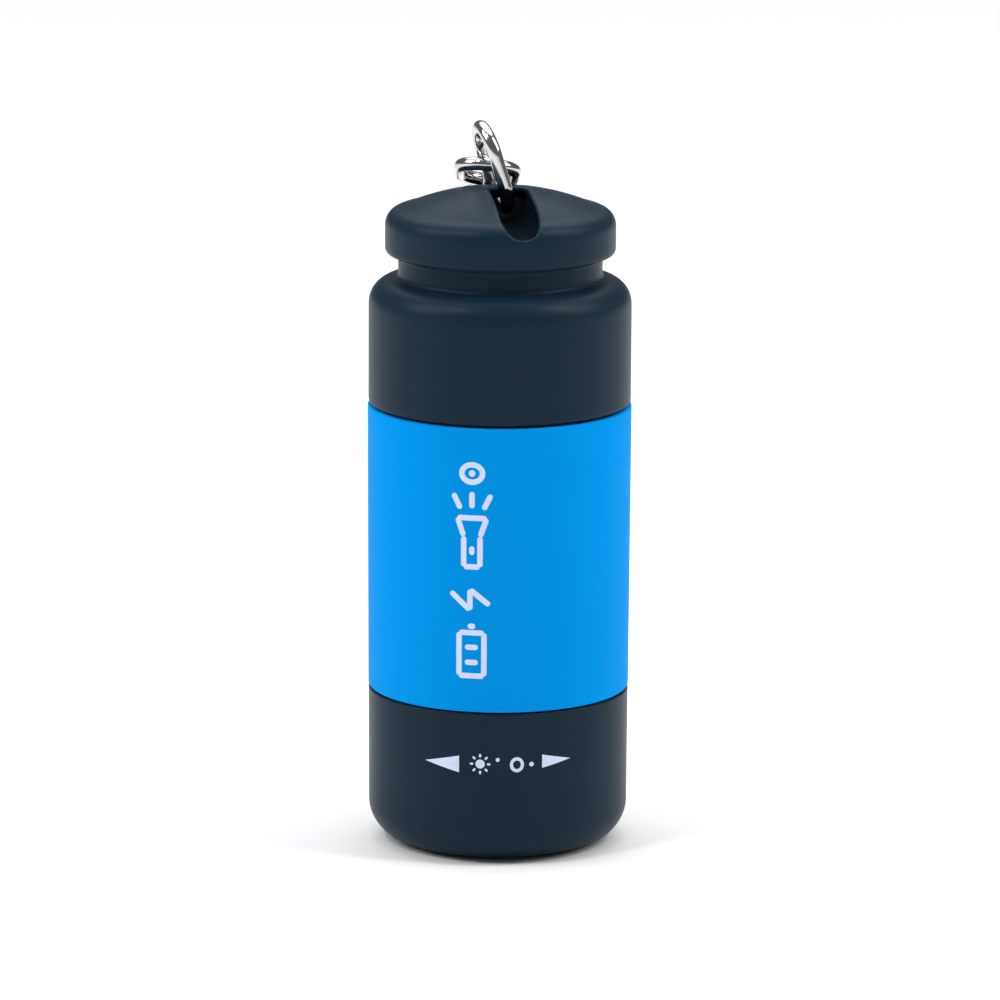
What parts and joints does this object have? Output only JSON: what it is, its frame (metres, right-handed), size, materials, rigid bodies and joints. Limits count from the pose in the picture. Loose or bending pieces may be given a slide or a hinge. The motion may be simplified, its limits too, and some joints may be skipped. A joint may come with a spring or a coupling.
{
  "type": "keychain flashlight",
  "caption": "Small dark and blue keychain flashlight with a twist-to-switch head, a screw-off tail cap over a USB charging plug, a chrome link chain and a split key ring.",
  "frame": {"origin": "centre of the lens's flat outer face, 0.8 mm inside the head's rim", "axes": "+Z along the body from the lens to the tail cap, +Y towards the side where the chain and key ring hang"},
  "size_m": [0.0242, 0.0278, 0.0665],
  "materials": {
    "dark_plastic": "matte moulded, fine grain",
    "blue_sleeve": "matte coated",
    "chain_chrome": "polished",
    "plug_steel": "satin nickel",
    "brass_contact": "polished",
    "rubber_seal": "matte",
    "white_plastic": "satin",
    "housing_plastic": "matte",
    "board_green": "solder mask",
    "reflector_mirror": "vacuum metallised",
    "lens_clear": "clear moulded",
    "phosphor": "clear over phosphor",
    "cell_wrap": "shrink film",
    "red_insulation": "satin",
    "black_insulation": "satin",
    "chip_epoxy": "matte"
  },
  "bodies": {
    "body": {"grip_sleeve": "blue_sleeve", "battery_housing": "housing_plastic", "battery_cell": "cell_wrap", "battery_tab_positive": "plug_steel", "battery_tab_negative": "plug_steel", "lead_red": "red_insulation", "lead_black": "black_insulation", "contact_board": "board_green", "contact_pad": "brass_contact", "charge_board": "board_green", "charge_chip": "chip_epoxy", "charge_led": "red_insulation", "resistor_1": "chip_epoxy", "resistor_2": "chip_epoxy", "usb_collar": "dark_plastic", "usb_shell": "plug_steel", "usb_tongue": "white_plastic", "usb_contact_1": "brass_contact", "usb_contact_2": "brass_contact", "usb_contact_3": "brass_contact", "usb_contact_4": "brass_contact"},
    "lower_seal": {"head_seal": "rubber_seal"},
    "head": {"head_bezel": "dark_plastic", "lens": "lens_clear", "lens_gasket": "rubber_seal", "reflector": "reflector_mirror", "led_board": "white_plastic", "led_base": "white_plastic", "led_dome": "phosphor", "contact_spring": "brass_contact"},
    "upper_seal": {"cap_seal": "rubber_seal"},
    "cap": {"tail_cap": "dark_plastic"},
    "link_1": {"chain_link_1": "chain_chrome"},
    "link_2": {"chain_link_2": "chain_chrome"},
    "link_3": {"chain_link_3": "chain_chrome"},
    "key_ring": {"split_ring": "chain_chrome"}
  },
  "joints": [
    {"name": "head_twist", "type": "hinge", "parent": "body", "child": "lower_seal", "pos_m": [0, 0, 0], "axis": [0, 0, -1], "range_deg": [0, 90]},
    {"name": "head_travel", "type": "slide", "parent": "lower_seal", "child": "head", "axis": [0, 0, -1], "range_m": [0, 0.00076]},
    {"name": "cap_turn", "type": "hinge", "parent": "body", "child": "upper_seal", "pos_m": [0, 0, 0.04], "axis": [0, 0, 1], "range_deg": [0, 2160]},
    {"name": "cap_lift", "type": "slide", "parent": "upper_seal", "child": "cap", "axis": [0, 0, 1], "range_m": [0, 0.01801]},
    {"name": "link_1_swing", "type": "hinge", "parent": "cap", "child": "link_1", "pos_m": [-0.0003, 0.00153, 0.06005], "axis": [0.9237, 0.2475, 0.2924], "range_deg": [0, 60]},
    {"name": "link_2_swing", "type": "hinge", "parent": "link_1", "child": "link_2", "pos_m": [-0.00121, 0.00385, 0.06096], "axis": [0.9945, 0, -0.1045], "range_deg": [0, 40]},
    {"name": "link_3_swing", "type": "hinge", "parent": "link_2", "child": "link_3", "pos_m": [-0.00139, 0.00966, 0.05886], "axis": [0.9945, 0, -0.1045], "range_deg": [0, 60]},
    {"name": "ring_swing", "type": "hinge", "parent": "link_3", "child": "key_ring", "pos_m": [-0.00104, 0.01309, 0.05757], "axis": [1, 0, 0], "range_deg": [0, 60]}
  ],
  "couplings": [
    {"joint": "head_travel", "follows": "head_twist", "m_per_rad": 0.00047746},
    {"joint": "cap_lift", "follows": "cap_turn", "m_per_rad": 0.00047746}
  ]
}
